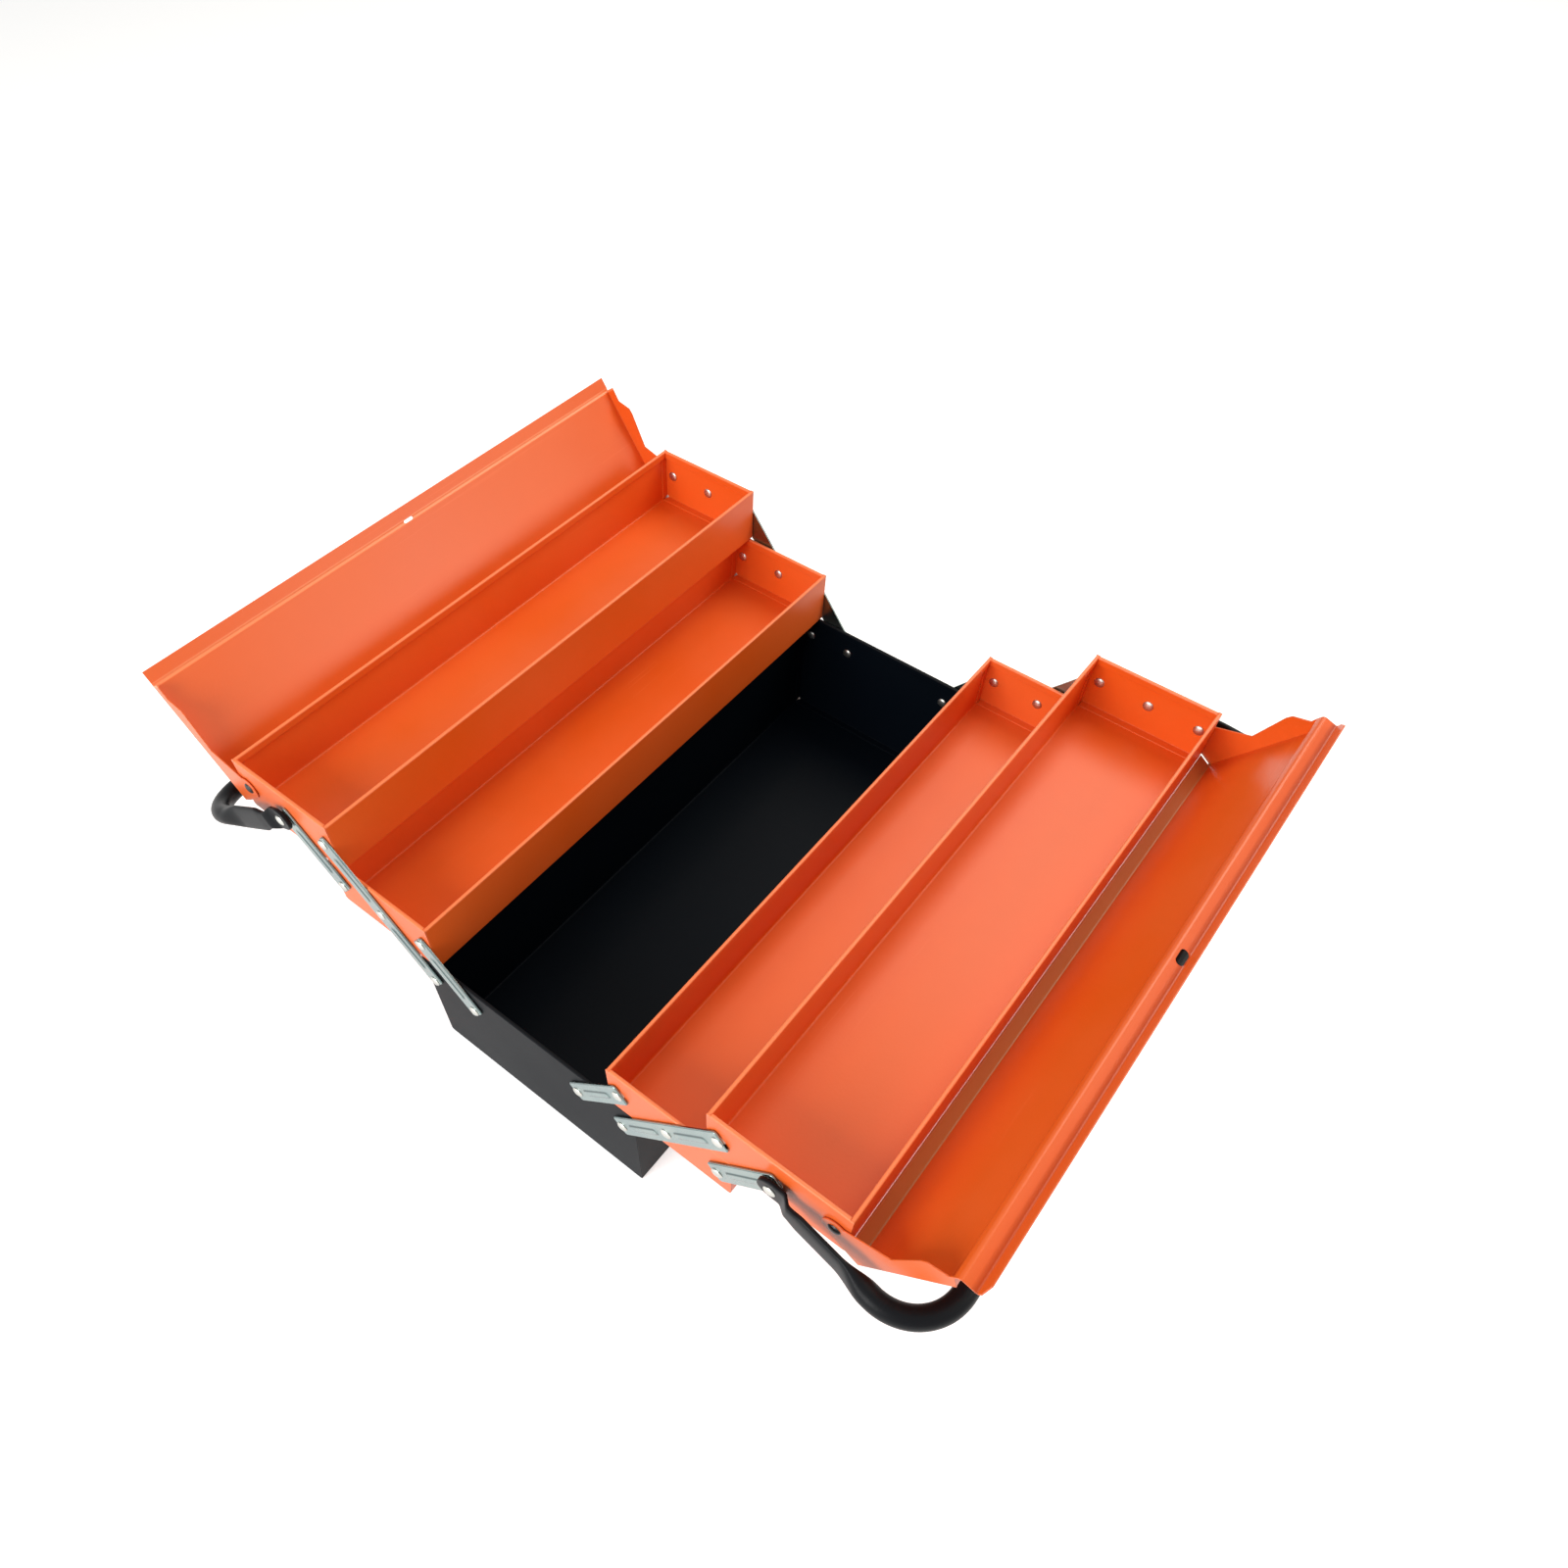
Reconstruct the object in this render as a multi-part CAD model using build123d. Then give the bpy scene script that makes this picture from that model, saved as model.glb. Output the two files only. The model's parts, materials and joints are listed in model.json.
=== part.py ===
"""Cantilever toolbox: an open base, four trays on parallel links, two hinged lids and two bail handles.

Millimetres and degrees. The origin is the middle of the base's underside. +Z is up, +X is to the
right and +Y runs along the box to its far end. The box stands open, as it is photographed.
Every right-hand piece is modelled once; the left-hand one is its mirror image.
"""
from build123d import *
from math import acos, asin, atan2, cos, degrees, hypot, radians, sin, tan
import os

# Box and trays
box_length = 460.0
base_height = 108.4
base_side_margin = 0.4
tray_width = 97.2
tray_height = 47.2
tray_gap = 0.4
centre_gap = 0.8

# Sheet metal
sheet = 0.8
base_sheet = 1.0
bend_radius = 2.4
hem_width = 2.6
hem_depth = 6.0
hem_round = 1.0
flange = 6.0
flange_relief = 1.4

# Pivots, counted along each end plate
pivot_drop = 22.5
pivot_inset = 9.2
outer_pivot_inset = 9.0
base_pivot_inset = 9.2

# Links
link_width = 17.0
link_sheet = 1.5
link_end = 6.5
link_slant = 4.0
link_corner = 2.5
link_gap = 0.6
rib_width = 6.0
rib_height = 0.7
rib_bevel = 0.5
rib_margin = 12.5

# Rivets
rivet_radius = 2.5
rivet_head_radius = 4.2
rivet_head_height = 1.5
rivet_collar_radius = 4.6
running_clearance = 0.06
seat_clearance = 0.1
drill_length = 4.0

# Lids
lid_slope = 6.0
right_lap = 2.5
left_lap = 4.5
lid_above_rim = 7.4
skirt_gap = 0.7
skirt_depth = 11.0
skirt_end_gap = 1.6
lid_stop_gap = 0.3
crease_depth = 0.6
groove_depth = 2.5
lip_rise = 1.7
ridge_height = 7.6
lid_bend = 2.0
lip_cut = 7.0
ear_radius = 8.5
ear_slant_in = 42.0
ear_slant_depth = 11.5

# Lid folds and end plate corners, counted back from the lip's edge
lip_width = 8.6
ridge_top_back = 11.7
ridge_foot_back = 16.3
ridge_start_back = 21.9
crease_back = 10.8
crease_width = 3.2
left_plate_end_back = 10.9
saddle_back = 20.6
saddle_depth = 7.8
peak_back = 29.6
peak_depth = 15.9
shoulder_back = 34.2
shoulder_depth = 16.3
padlock_slot_length = 12.0
padlock_slot_width = 6.0
padlock_slot_rise = 1.9
left_slot_length = 9.0
left_slot_width = 2.4

# Handles
handle_reach = 112.0
handle_bend = 34.0
tube_radius = 7.0
tube_wall = 1.4
arm_splay = 6.6
eye_radius = 9.0
eye_thickness = 3.2
eye_length = 8.0
neck_place = 14.0
neck_out = 9.0
neck_thickness = 3.8
neck_height = 14.0
arm_start = 24.0
arm_thickness = 4.4
arm_height = 19.4
taper_length = 22.0
bend_lead = 2.1
loft_edge = 0.1
handle_gap = 0.3
handle_meeting_gap = 1.0
handle_angle_right = -6.6
handle_angle_left = -28.0

# Places that follow from the sizes above
half_length = box_length / 2
base_width = 2 * (tray_width + base_side_margin) + centre_gap
pivot_spacing = (tray_width - pivot_inset - outer_pivot_inset) / 2
base_pivot_x = base_width / 2 - base_pivot_inset - pivot_spacing
shut_pivot_x = centre_gap / 2 + pivot_inset
stage_rise = tray_height + tray_gap
stage_reach = base_pivot_x - shut_pivot_x
link_length = hypot(stage_reach, stage_rise)
link_angle = degrees(atan2(stage_rise, stage_reach))
fold_travel = 180 - 2 * link_angle
base_pivot_height = base_height - pivot_drop
tray_pivot_height = tray_height - pivot_drop
link_face = half_length + link_gap
link_outside = link_face + link_sheet
lid_plate_face = half_length + link_gap
lid_plate_outside = lid_plate_face + sheet
handle_face = link_outside + rib_height + handle_gap
handle_outside = handle_face + eye_thickness
bend_reach = handle_bend * tan(radians((90 + arm_splay) / 2)) * cos(radians(arm_splay))
tube_start = handle_reach - bend_reach - bend_lead
arm_end = tube_start - taper_length


def tray_place(level):
    """Inner lower corner (x, z) of a right-hand tray in the open box: level 1 is lower, 2 upper."""
    x = base_pivot_x + (level - 1) * pivot_spacing + level * stage_reach - pivot_inset
    z = base_pivot_height + level * stage_rise - tray_pivot_height
    return x, z


def pivot(level, index):
    """Pivot (x, z) number index, from the middle of the box outwards, on the base or on a tray."""
    if level == 0:
        return base_pivot_x + index * pivot_spacing, base_pivot_height
    x, z = tray_place(level)
    return x + pivot_inset + index * pivot_spacing, z + tray_pivot_height


lid_pivot = pivot(2, 2)
handle_pivot = pivot(2, 1)
lid_pivot_in = outer_pivot_inset + skirt_gap + sheet
lid_pivot_down = pivot_drop + lid_above_rim


def lid_open_angle():
    """Slope of the open lid, at which its skirt's edge stands lid_stop_gap from the tray's wall."""
    down = lid_pivot_down - skirt_depth
    reach = outer_pivot_inset + lid_stop_gap
    return degrees(asin(reach / hypot(down, lid_pivot_in)) + atan2(lid_pivot_in, down))


def lid_width(lap):
    """Width of a lid along its slope, so that its lip passes the middle of the shut box by lap."""
    level_reach = shut_pivot_x + 2 * pivot_spacing + lap
    slope = radians(lid_slope)
    return lid_pivot_in + (level_reach + lid_pivot_down * sin(slope)) / cos(slope)


lid_rest = lid_open_angle()
lid_travel = 180 - lid_slope - lid_rest
right_width = lid_width(right_lap)
left_width = lid_width(left_lap)
ridge_start = right_width - ridge_start_back
ridge_foot = right_width - ridge_foot_back
ridge_top = right_width - ridge_top_back
ridge_end = right_width - lip_width
ridge_inside = ridge_height + sheet
left_plate_end = left_width - left_plate_end_back
shut_handle_x = shut_pivot_x + pivot_spacing
handle_lean = shut_handle_x - tube_radius - handle_meeting_gap / 2
handle_upright = degrees(acos(-handle_lean / handle_reach))


def section(shape):
    """Turn a flat shape drawn with X and Z into the XZ plane of the box."""
    return Plane.XZ * shape


def both_ways(shape, half):
    """Extrude a shape of the XZ plane by half towards each end of the box."""
    return extrude(section(shape), half, both=True)


def slab(shape, y_low, y_high):
    """Extrude a shape drawn with X and Z between two places along the box."""
    return Pos(0, y_high, 0) * extrude(section(shape), y_high - y_low)


def box_between(low, high):
    """Solid box between two corners."""
    size = [b - a for a, b in zip(low, high)]
    middle = [(a + b) / 2 for a, b in zip(low, high)]
    return Pos(*middle) * Box(*size)


def rectangle_between(x_low, z_low, x_high, z_high):
    """Flat rectangle between two corners."""
    middle = Pos((x_low + x_high) / 2, (z_low + z_high) / 2)
    return middle * Rectangle(x_high - x_low, z_high - z_low)


def round_low_corners(shape, radius):
    """Round the two lower corners of a flat shape."""
    return fillet(shape.vertices().group_by(Axis.Y)[0], radius)


def hem_section(x_low):
    """Closed hem of a sheet's top edge, as a bar with a rounded top, with its foot at z = 0."""
    bar = rectangle_between(x_low, 0, x_low + hem_width, hem_depth)
    return fillet(bar.vertices().group_by(Axis.Y)[-1], hem_round)


def pan(width, height, wall):
    """Floor and two long walls of one folded sheet, with hems turned inwards."""
    outside = round_low_corners(rectangle_between(0, 0, width, height), bend_radius)
    inside = round_low_corners(
        rectangle_between(wall, wall, width - wall, height + wall), bend_radius - wall)
    hem_top = Pos(0, height - hem_depth)
    hems = hem_top * (hem_section(0) + hem_section(width - hem_width))
    walls = outside - inside - rectangle_between(0, height - hem_depth, width, height)
    return both_ways(walls + hems, half_length - wall)


def pivot_drill(x, z):
    """Cylinder that cuts a pivot's hole through a plate at the far end."""
    return Pos(x, half_length, z) * Rot(90, 0, 0) * Cylinder(
        rivet_radius + running_clearance, drill_length)


def end_plate(width, height, wall, hole_places):
    """Far end plate, with a hem on top and flanges spot-welded to the floor and the long walls."""
    outline = round_low_corners(rectangle_between(0, 0, width, height), bend_radius)
    notch = rectangle_between(hem_width, height - hem_depth, width - hem_width, height)
    plate = slab(outline - notch, half_length - wall, half_length)
    hem_bar = Pos(half_length - hem_width, height - hem_depth) * hem_section(0)
    hem = extrude(Plane.YZ * hem_bar, width - 2 * hem_width)
    y_low = half_length - wall - flange
    y_high = half_length - wall
    relief = wall + flange_relief
    top = height - hem_depth - flange_relief
    floor = box_between((relief, y_low, wall), (width - relief, y_high, 2 * wall))
    sides = [box_between((x, y_low, relief), (x + wall, y_high, top))
             for x in (wall, width - 2 * wall)]
    plate = plate + Pos(hem_width, 0, 0) * hem + floor + sides
    for x, z in hole_places:
        plate -= pivot_drill(x, z)
    return plate


def rivet(x, z, wall, outer_face):
    """Far rivet on a pivot: head inside the plate, collar outside it, shank, and a domed head."""
    inner = half_length - wall
    head = outer_face + seat_clearance
    collar_end = link_face - seat_clearance
    outline = Polyline(
        (0, inner - rivet_head_height), (rivet_radius, inner - rivet_head_height),
        (rivet_head_radius, inner), (rivet_radius, inner), (rivet_radius, half_length),
        (rivet_collar_radius, half_length), (rivet_collar_radius, collar_end),
        (rivet_radius, collar_end), (rivet_radius, head), (rivet_head_radius, head),
        (rivet_radius, head + rivet_head_height), (0, head + rivet_head_height), close=True)
    return Pos(x, 0, z) * revolve(make_face(outline), Axis.Y)


def link(points, angle):
    """Pressed link in the plane of the far end: a slant-ended strip with a raised rib per stage."""
    start, last = points[0], points[-1]
    length = hypot(last[0] - start[0], last[1] - start[1])
    half = link_width / 2
    strip = make_face(Polyline(
        (-link_end, -half), (length + link_end - link_slant, -half),
        (length + link_end, half), (link_slant - link_end, half), close=True))
    strip = fillet(strip.vertices(), link_corner)
    hole = Circle(rivet_radius + running_clearance)
    stages = len(points) - 1
    rib_length = link_length - 2 * rib_margin
    ribs = [Pos((stage + 0.5) * link_length, 0) * SlotOverall(rib_length, rib_width)
            for stage in range(stages)]
    holes = [Pos(stage * link_length, 0) * hole for stage in range(stages + 1)]
    body = slab(strip - holes, link_face, link_outside)
    for rib in ribs:
        pressed = slab(rib, link_outside, link_outside + rib_height)
        body += chamfer(pressed.faces().sort_by(Axis.Y)[-1].edges(), rib_bevel)
    return Pos(start[0], 0, start[1]) * Rot(0, -angle, 0) * body


def lid_profile(*lip_side):
    """Section of a folded lid sheet: u runs from the outer bend to the lip, v into the box."""
    surface = FilletPolyline((0, skirt_depth), (0, 0), *lip_side, radius=lid_bend)
    return make_face(offset(surface, sheet, side=Side.LEFT, closed=True))


def lid_end_section(*lip_side):
    """Outline of a lid's end plate, with the ear that carries its pivot."""
    ear = Pos(lid_pivot_in, lid_pivot_down) * Circle(ear_radius)
    bay = make_face(Polyline(
        (0, 0), *lip_side, (right_width - saddle_back, saddle_depth),
        (right_width - peak_back, peak_depth), (right_width - shoulder_back, shoulder_depth),
        (ear_slant_in, ear_slant_depth), (lid_pivot_in + ear_radius, lid_pivot_down),
        (lid_pivot_in - ear_radius, lid_pivot_down), (0, skirt_depth), close=True))
    return ear + bay


def lid(profile, end_section):
    """Lid in its own u and v: a folded sheet, cut free of the skirt's ends, and two end plates."""
    shell = both_ways(profile, lid_plate_outside)
    end = slab(end_section, lid_plate_face, lid_plate_outside)
    gap = box_between(
        (-sheet, half_length - skirt_end_gap, lid_bend),
        (lid_bend, lid_plate_outside + sheet, skirt_depth + sheet))
    shell = shell - gap - mirror(gap, about=Plane.XZ)
    end -= pivot_drill(lid_pivot_in, lid_pivot_down)
    return shell + end + mirror(end, about=Plane.XZ)


def right_lid():
    """Right-hand lid: a ridge that stiffens it, a lip with cut corners and a padlock slot."""
    profile = lid_profile(
        (ridge_start, 0), (ridge_foot, ridge_height), (ridge_top, ridge_height),
        (ridge_end, -groove_depth), (right_width, lip_rise - groove_depth))
    end_section = lid_end_section(
        (ridge_start, 0), (ridge_foot, ridge_height), (ridge_foot, ridge_inside))
    corner = Pos(right_width, lid_plate_outside) * Rot(0, 0, 45) * Rectangle(lip_cut, lip_cut)
    cutter = extrude(corner, ridge_height, both=True)
    slot_plane = Plane(origin=(ridge_top, 0, padlock_slot_rise), x_dir=(0, 1, 0), z_dir=(1, 0, 0))
    slot = extrude(slot_plane * SlotOverall(padlock_slot_length, padlock_slot_width),
                   ridge_end - ridge_top + lid_bend)
    return lid(profile, end_section) - cutter - mirror(cutter, about=Plane.XZ) - slot


def left_lid():
    """Left-hand lid, drawn as a right-hand one: flat, with a crease and a slot near its lip."""
    crease = left_width - crease_back
    profile = lid_profile(
        (crease - crease_width / 2, 0), (crease, -crease_depth), (crease + crease_width / 2, 0),
        (left_width, 0))
    end_section = lid_end_section((left_plate_end, 0), (left_plate_end, ridge_inside))
    slot_plane = Plane(origin=(crease, 0, 0), x_dir=(0, 1, 0), z_dir=(0, 0, 1))
    slot = extrude(slot_plane * SlotOverall(left_slot_length, left_slot_width), ridge_height, both=True)
    return lid(profile, end_section) - slot


def place_lid(body, angle):
    """Turn a lid from its own u and v to the box: u slopes up at the angle, about the lid's pivot."""
    to_pivot = Pos(-lid_pivot_in, 0, -lid_pivot_down)
    return Pos(lid_pivot[0], 0, lid_pivot[1]) * Rot(0, -angle, 0) * to_pivot * body


def arm_y(place):
    """How far from the middle of the box an arm's centre line lies, at a distance from its pivot."""
    return half_length + neck_out + (place - neck_place) * tan(radians(arm_splay))


def cross_plane(place, y, lean):
    """Plane square to a far arm, at a distance from its pivot, leaning as the arm splays."""
    along = (cos(radians(lean)), sin(radians(lean)), 0)
    across = (-sin(radians(lean)), cos(radians(lean)), 0)
    return Plane(origin=(place, y, 0), x_dir=across, z_dir=along)


def handle_arm():
    """Far arm of the bail: a pierced eye, a neck that steps outwards, and a flattened run of tube."""
    eye_y = (handle_face + handle_outside) / 2
    half = eye_radius
    flat = Circle(half) + rectangle_between(0, -half, eye_length, half)
    flat -= Circle(rivet_radius + running_clearance)
    eye = slab(flat, handle_face, handle_outside)
    eye_end = cross_plane(eye_length, eye_y, 0) * Ellipse(eye_thickness / 2 - loft_edge, half - loft_edge)
    neck = cross_plane(neck_place, arm_y(neck_place), arm_splay) * Ellipse(
        neck_thickness / 2, neck_height / 2)
    run_section = Ellipse(arm_thickness / 2, arm_height / 2)
    run_start = cross_plane(arm_start, arm_y(arm_start), arm_splay) * run_section
    run_end = cross_plane(arm_end, arm_y(arm_end), arm_splay) * run_section
    tube_end = cross_plane(tube_start, arm_y(tube_start), arm_splay) * Circle(tube_radius)
    step = loft([eye_end, neck])
    swell = loft([neck, run_start])
    run = loft([run_start, run_end])
    taper = loft([run_end, tube_end])
    return eye + step + swell + run + taper


def bail(radius):
    """Round part of the bail: from one arm round both bends and the crossbar to the other arm."""
    corner_y = arm_y(handle_reach)
    path = FilletPolyline(
        (tube_start, arm_y(tube_start)), (handle_reach, corner_y), (handle_reach, -corner_y),
        (tube_start, -arm_y(tube_start)), radius=handle_bend)
    return sweep(cross_plane(tube_start, arm_y(tube_start), arm_splay) * Circle(radius), path)


def handle(angle):
    """Right-hand bail, one bent tube with flattened, pierced ends, turned about its pivot."""
    arm = handle_arm()
    body = bail(tube_radius) - bail(tube_radius - tube_wall) + arm + mirror(arm, about=Plane.XZ)
    return Pos(handle_pivot[0], 0, handle_pivot[1]) * Rot(0, -angle, 0) * body


def near_copy(body):
    """The same piece at the near end of the box."""
    return mirror(body, about=Plane.XZ)


def left_copy(body):
    """The same piece on the left-hand side of the box."""
    return mirror(body, about=Plane.YZ)


def write(name, *bodies):
    """Write one piece, or one group of loose pieces, as parts/NAME.step."""
    solids = [solid for body in bodies for solid in body.solids()]
    shape = solids[0] if len(solids) == 1 else Compound(children=solids)
    export_step(shape, f"parts/{name}.step")


def write_both_sides(name, *bodies):
    """Write a right-hand piece and its left-hand mirror image."""
    write(f"right_{name}", *bodies)
    write(f"left_{name}", *[left_copy(body) for body in bodies])


def write_base():
    """The base: a folded pan, two end plates and the rivets that carry the links."""
    shift = Pos(-base_width / 2, 0, 0)
    pivots = [pivot(0, index) for index in (0, 1)]
    holes = [(base_width / 2 + sign * x, z) for sign in (1, -1) for x, z in pivots]
    plate = shift * end_plate(base_width, base_height, base_sheet, holes)
    write("base_pan", shift * pan(base_width, base_height, base_sheet))
    write("base_end_far", plate)
    write("base_end_near", near_copy(plate))
    far = [rivet(x, z, base_sheet, link_outside) for x, z in pivots]
    far += [left_copy(body) for body in far]
    write("base_rivets", *far, *[near_copy(body) for body in far])


def write_tray(name, level, rivet_faces):
    """One level of trays: a pan, two end plates and the rivets in its three pairs of pivots."""
    x0, z0 = tray_place(level)
    shift = Pos(x0, 0, z0)
    holes = [(pivot_inset + index * pivot_spacing, tray_pivot_height) for index in range(3)]
    plate = shift * end_plate(tray_width, tray_height, sheet, holes)
    write_both_sides(f"{name}_tray_pan", shift * pan(tray_width, tray_height, sheet))
    write_both_sides(f"{name}_tray_end_far", plate)
    write_both_sides(f"{name}_tray_end_near", near_copy(plate))
    far = [rivet(*pivot(level, index), sheet, face) for index, face in enumerate(rivet_faces)]
    write_both_sides(f"{name}_tray_rivets", *far, *[near_copy(body) for body in far])


def write_links():
    """Three pairs of parallel links a side."""
    chains = {
        "short_link": [pivot(0, 0), pivot(1, 0)],
        "long_link": [pivot(0, 1), pivot(1, 1), pivot(2, 0)],
        "third_link": [pivot(1, 2), pivot(2, 1)],
    }
    for name, points in chains.items():
        body = link(points, link_angle)
        write_both_sides(f"{name}_far", body)
        write_both_sides(f"{name}_near", near_copy(body))


def write_lids_and_handles():
    """Two lids, whose lips lap at the middle when the box is shut, and two bail handles."""
    write("right_lid", place_lid(right_lid(), lid_rest))
    write("left_lid", left_copy(place_lid(left_lid(), lid_rest)))
    write("right_handle", handle(handle_angle_right))
    write("left_handle", left_copy(handle(handle_angle_left)))


def main():
    os.makedirs("parts", exist_ok=True)
    write_base()
    write_tray("lower", 1, (link_outside, link_outside, link_outside))
    write_tray("upper", 2, (link_outside, handle_outside, lid_plate_outside))
    write_links()
    write_lids_and_handles()
    print(f"link angle {link_angle:.2f}, fold travel {fold_travel:.2f}")
    print(f"lid rest {lid_rest:.2f}, travel {lid_travel:.2f}, handle upright {handle_upright:.2f}")


if __name__ == "__main__":
    main()
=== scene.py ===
# %% [markdown]
# # A cantilever toolbox, dressed over its CAD model
# The real object is an orange steel toolbox that opens like a pair of wings: four trays climb out
# of a dark base on flat links, and a lid and a bail handle hang from each upper tray. The packed
# CAD model gives every size and joint. The folded trays, the base and the lids keep their CAD
# shape and get painted-steel materials. Links, rivets, washers and handles are made again as
# surfaces that are worked out from formulas, because their rounded forms catch the light.

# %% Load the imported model
import json
from math import cos, radians, sin, tan

import bpy
import numpy as np
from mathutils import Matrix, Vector


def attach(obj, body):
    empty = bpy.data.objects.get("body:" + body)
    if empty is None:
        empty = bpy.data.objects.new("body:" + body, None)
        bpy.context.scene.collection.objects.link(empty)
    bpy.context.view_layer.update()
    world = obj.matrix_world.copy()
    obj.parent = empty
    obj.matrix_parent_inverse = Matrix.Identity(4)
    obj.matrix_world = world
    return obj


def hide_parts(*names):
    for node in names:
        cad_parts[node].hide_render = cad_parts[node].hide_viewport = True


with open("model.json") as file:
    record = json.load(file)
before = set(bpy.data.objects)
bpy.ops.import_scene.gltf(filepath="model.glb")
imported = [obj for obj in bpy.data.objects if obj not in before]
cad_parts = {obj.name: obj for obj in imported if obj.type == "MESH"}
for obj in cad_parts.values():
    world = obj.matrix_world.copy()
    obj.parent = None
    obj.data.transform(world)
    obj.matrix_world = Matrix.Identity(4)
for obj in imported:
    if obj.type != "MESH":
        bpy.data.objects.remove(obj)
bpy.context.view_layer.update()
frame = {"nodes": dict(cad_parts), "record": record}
MM = 0.001
SIDES = {"right": 1, "left": -1}

# %% [markdown]
# ## The camera
# The photograph looks down on the box from its near right corner. A camera was fitted to measured
# corners and rivets of the box: its place, its two angles and its focal length follow, and the
# small shift puts the picture's middle where the photograph has it.

# %% Camera
CAMERA_PLACE = (0.3127, -0.4131, 0.7570)
CAMERA_HEADING = -38.35
CAMERA_PITCH = 54.95
LENS_PIXELS = 1105.4
MIDDLE_PIXEL = (733.6, 907.7)
IMAGE_SIZE = 1600

camera_data = bpy.data.cameras.new("camera")
camera_data.sensor_width = 36
camera_data.lens = camera_data.sensor_width * LENS_PIXELS / IMAGE_SIZE
camera_data.shift_x = (IMAGE_SIZE / 2 - MIDDLE_PIXEL[0]) / IMAGE_SIZE
camera_data.shift_y = (MIDDLE_PIXEL[1] - IMAGE_SIZE / 2) / IMAGE_SIZE
camera = bpy.data.objects.new("camera", camera_data)
camera.location = CAMERA_PLACE
camera.rotation_euler = (radians(90 - CAMERA_PITCH), 0, radians(-CAMERA_HEADING))
bpy.context.scene.collection.objects.link(camera)
bpy.context.scene.camera = camera
bpy.context.scene.view_settings.view_transform = "Standard"
print("lens in mm:", round(camera_data.lens, 2))

# %% [markdown]
# ## Light, floor and background
# A catalogue picture has broad soft light. The floors of the right-hand trays shine towards the
# camera, so the large softbox hangs over the far side. A second one hangs lower at the near side.
# It lights the outer near ends and the inner far ends more than the floors, which the photograph
# shows darker. A weak card at the far right gives the left lid its sheen. The floor is plain, and
# camera rays see floor and world nearly white.

# %% A helper that adds and joins shader nodes
def add_node(tree, kind, settings=(), **sockets):
    """Add a node and set its properties; an input gets a value or another node's output.

    An input is given by its name, or as i and its number."""
    node = tree.nodes.new(kind)
    for name, value in dict(settings).items():
        setattr(node, name, value)
    for name, value in sockets.items():
        key = int(name[1:]) if name[0] == "i" and name[1:].isdigit() else name.replace("_", " ")
        if isinstance(value, bpy.types.NodeSocket):
            tree.links.new(value, node.inputs[key])
        else:
            node.inputs[key].default_value = value
    return node


def seen_directly(tree):
    """One for camera, glossy and transmission rays, and nought for the light on the object."""
    path = add_node(tree, "ShaderNodeLightPath")
    first = add_node(tree, "ShaderNodeMath", {"operation": "MAXIMUM"},
                     i0=path.outputs["Is Camera Ray"], i1=path.outputs["Is Glossy Ray"])
    return add_node(tree, "ShaderNodeMath", {"operation": "MAXIMUM"},
                    i0=first.outputs[0], i1=path.outputs["Is Transmission Ray"]).outputs[0]


# %% World
WORLD_LIGHT = 0.36
world = bpy.data.worlds.new("studio")
world.use_nodes = True
world_tree = world.node_tree
world_tree.nodes.clear()
world_seen = add_node(world_tree, "ShaderNodeBackground", Strength=1.0)
world_lit = add_node(world_tree, "ShaderNodeBackground", Strength=WORLD_LIGHT)
world_mix = add_node(world_tree, "ShaderNodeMixShader", i0=seen_directly(world_tree),
                     i1=world_lit.outputs[0], i2=world_seen.outputs[0])
add_node(world_tree, "ShaderNodeOutputWorld", Surface=world_mix.outputs[0])
bpy.context.scene.world = world
print("world light:", WORLD_LIGHT)

# %% Floor
FLOOR_HALF = 3.0
FLOOR_GLOW = 0.52
FLOOR_COLOUR = (0.86, 0.86, 0.86, 1)
FLOOR_ROUGHNESS = 0.9
floor_mesh = bpy.data.meshes.new("floor")
floor_corners = [(-FLOOR_HALF, -FLOOR_HALF, 0), (FLOOR_HALF, -FLOOR_HALF, 0),
                 (FLOOR_HALF, FLOOR_HALF, 0), (-FLOOR_HALF, FLOOR_HALF, 0)]
floor_mesh.from_pydata(floor_corners, [], [(0, 1, 2, 3)])
floor = bpy.data.objects.new("floor", floor_mesh)
bpy.context.scene.collection.objects.link(floor)
floor_paint = bpy.data.materials.new("floor")
floor_paint.use_nodes = True
floor_tree = floor_paint.node_tree
floor_shader = floor_tree.nodes["Principled BSDF"]
floor_shader.inputs["Base Color"].default_value = FLOOR_COLOUR
floor_shader.inputs["Roughness"].default_value = FLOOR_ROUGHNESS
floor_shader.inputs["Emission Color"].default_value = (1, 1, 1, 1)
floor_glow = add_node(floor_tree, "ShaderNodeMath", {"operation": "MULTIPLY"},
                      i0=seen_directly(floor_tree), i1=FLOOR_GLOW)
floor_tree.links.new(floor_glow.outputs[0], floor_shader.inputs["Emission Strength"])
floor_mesh.materials.append(floor_paint)
print("floor in m:", 2 * FLOOR_HALF)


# %% Softboxes
WARM_LIGHT, WHITE_LIGHT = (1.0, 0.95, 0.82), (1, 1, 1)


def make_softbox(name, place, aim, size, power, colour):
    """Square area light at a place, turned to shine on a point."""
    data = bpy.data.lights.new(name, "AREA")
    data.color = colour
    data.size = size
    data.energy = power
    lamp = bpy.data.objects.new(name, data)
    lamp.location = place
    lamp.rotation_euler = (Vector(aim) - Vector(place)).to_track_quat("-Z", "Y").to_euler()
    bpy.context.scene.collection.objects.link(lamp)


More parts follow.
